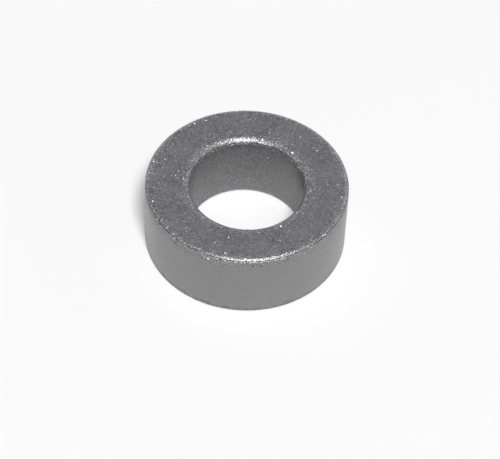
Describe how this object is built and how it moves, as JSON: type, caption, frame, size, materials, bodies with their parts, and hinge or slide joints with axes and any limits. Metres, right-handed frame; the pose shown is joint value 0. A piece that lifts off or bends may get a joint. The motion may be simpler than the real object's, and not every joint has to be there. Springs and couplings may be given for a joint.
{
  "type": "ferrite toroid core",
  "caption": "Bare sintered ferrite ring core with rolled rims on both end faces; wire is wound through its bore to make a choke, transformer or suppressor.",
  "frame": {"origin": "centre of the lower end face, on the bore's axis", "axes": "+Z along the bore axis, from the lower end face to the upper one; X and Y lie in the lower end face, with no preferred direction round the ring"},
  "size_m": [0.0126, 0.0126, 0.0049],
  "materials": {
    "ferrite": "sintered: matt and grainy end faces and rims with crystal glints, smoother half-gloss outer wall and bore wall"
  },
  "bodies": {
    "root": {"toroid_core": "ferrite"}
  },
  "joints": []
}
